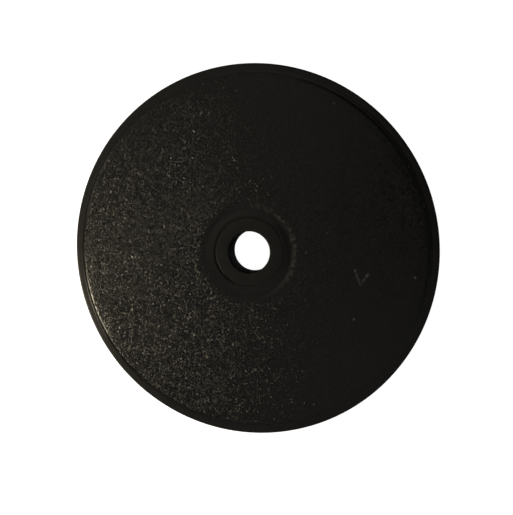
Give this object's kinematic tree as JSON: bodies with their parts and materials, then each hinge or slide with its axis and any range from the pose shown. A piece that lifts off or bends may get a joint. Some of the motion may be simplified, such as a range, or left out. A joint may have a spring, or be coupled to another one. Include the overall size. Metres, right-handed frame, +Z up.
{
  "type": "magnetic security tag detacher",
  "caption": "Thin round magnetic security tag detacher: a black moulded disc with a textured cover let into a smooth rim, and a smooth collar round a through bore.",
  "frame": {"origin": "on the counter surface, under the middle of the bore", "axes": "+Z up along the bore axis, out of the textured cover; +X through the first disc magnet"},
  "size_m": [0.07, 0.07, 0.0058],
  "materials": {
    "housing_plastic": "satin warm-black moulded ABS",
    "cover_plastic": "spark-eroded grain on warm-black moulded ABS",
    "yoke_steel": "zinc-plated pressed steel",
    "carrier_nylon": "natural moulded nylon",
    "magnet_nickel": "nickel-plated sintered magnet",
    "liner_foam": "closed-cell foam sheet",
    "screw_zinc": "zinc-plated steel",
    "foot_rubber": "matt moulded rubber"
  },
  "bodies": {
    "root": {"base_housing": "housing_plastic", "top_cover": "cover_plastic", "back_yoke": "yoke_steel", "magnet_carrier": "carrier_nylon", "centre_ring_magnet": "magnet_nickel", "outer_magnet_1": "magnet_nickel", "outer_magnet_2": "magnet_nickel", "outer_magnet_3": "magnet_nickel", "outer_magnet_4": "magnet_nickel", "outer_magnet_5": "magnet_nickel", "outer_magnet_6": "magnet_nickel", "outer_magnet_7": "magnet_nickel", "outer_magnet_8": "magnet_nickel", "damping_liner": "liner_foam", "cover_screw_1": "screw_zinc", "cover_screw_2": "screw_zinc", "cover_screw_3": "screw_zinc", "cover_screw_4": "screw_zinc", "rubber_foot_1": "foot_rubber", "rubber_foot_2": "foot_rubber", "rubber_foot_3": "foot_rubber", "rubber_foot_4": "foot_rubber"}
  },
  "joints": []
}
